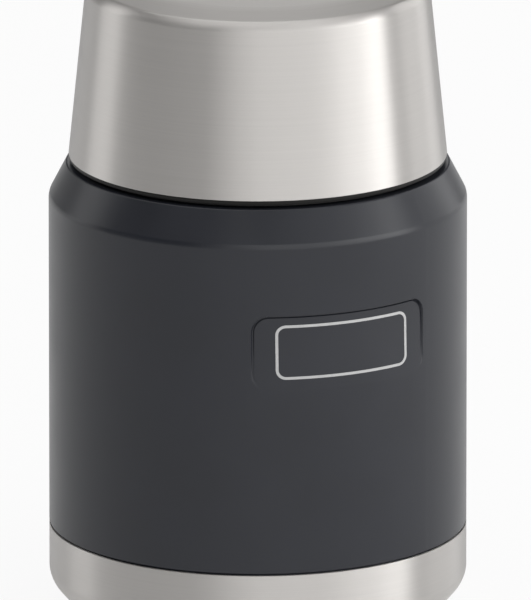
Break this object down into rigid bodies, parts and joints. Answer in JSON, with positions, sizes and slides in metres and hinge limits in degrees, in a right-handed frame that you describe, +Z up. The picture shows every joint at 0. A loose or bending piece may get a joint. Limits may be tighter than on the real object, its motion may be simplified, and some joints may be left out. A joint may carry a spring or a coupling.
{
  "type": "insulated food jar",
  "caption": "Double-walled steel food jar with a coated body, bare steel base, screw-in stopper with a press-button steam valve, and a tall tapered steel lid that serves as a bowl.",
  "frame": {"origin": "middle of the foot ring, on the surface the jar stands on", "axes": "+Z up along the jar's axis; the badge recess faces -Y"},
  "size_m": [0.092, 0.092, 0.1433],
  "materials": {
    "coat": "fine-grained dark grey powder coat",
    "vessel_steel": "plain drawn stainless steel",
    "base_steel": "stainless steel brushed round the axis",
    "lid_steel": "stainless steel brushed round the axis",
    "bead": "dark sealing glass",
    "getter": "pressed metal powder",
    "dark_plastic": "moulded, finely textured",
    "liner_plastic": "moulded, satin",
    "button_plastic": "moulded, satin",
    "clear_silicone": "milky silicone",
    "black_silicone": "soft black silicone",
    "foam": "closed-cell insulating foam",
    "spring_steel": "bright drawn wire and rod"
  },
  "bodies": {
    "jar": {"outer_shell": "coat", "inner_vessel": "vessel_steel", "base_cup": "base_steel", "bottom_plate": "vessel_steel", "vacuum_plug": "bead", "getter": "getter", "getter_tray": "vessel_steel"},
    "stopper_ring": {"stopper_seal": "clear_silicone"},
    "stopper": {"stopper_body": "dark_plastic", "stopper_foam": "foam", "stopper_cap": "dark_plastic", "relief_spring": "spring_steel"},
    "relief": {"relief_button": "button_plastic", "relief_stem": "spring_steel", "relief_valve": "clear_silicone", "valve_clip": "spring_steel"},
    "lid_ring": {"lid_seal": "black_silicone"},
    "lid": {"lid_liner": "liner_plastic", "lid_shell": "lid_steel"}
  },
  "joints": [
    {"name": "stopper_lift", "type": "slide", "parent": "jar", "child": "stopper_ring", "axis": [0, 0, 1], "range_m": [0, 0.0305]},
    {"name": "stopper_turn", "type": "hinge", "parent": "stopper_ring", "child": "stopper", "pos_m": [0, 0, 0.1], "axis": [0, 0, 1], "range_deg": [0, 720]},
    {"name": "relief_press", "type": "slide", "parent": "stopper", "child": "relief", "axis": [0, 0, -1], "range_m": [0, 0.0025], "stiffness_N_per_m": 800, "springref_m": -0.003, "deforming": ["relief_spring"]},
    {"name": "lid_lift", "type": "slide", "parent": "stopper", "child": "lid_ring", "axis": [0, 0, 1], "range_m": [0, 0.061]},
    {"name": "lid_turn", "type": "hinge", "parent": "lid_ring", "child": "lid", "pos_m": [0, 0, 0.12], "axis": [0, 0, 1], "range_deg": [0, 1440]}
  ],
  "couplings": [
    {"joint": "stopper_lift", "follows": "stopper_turn", "m_per_rad": 0.0023873},
    {"joint": "lid_lift", "follows": "lid_turn", "m_per_rad": 0.0023873}
  ]
}
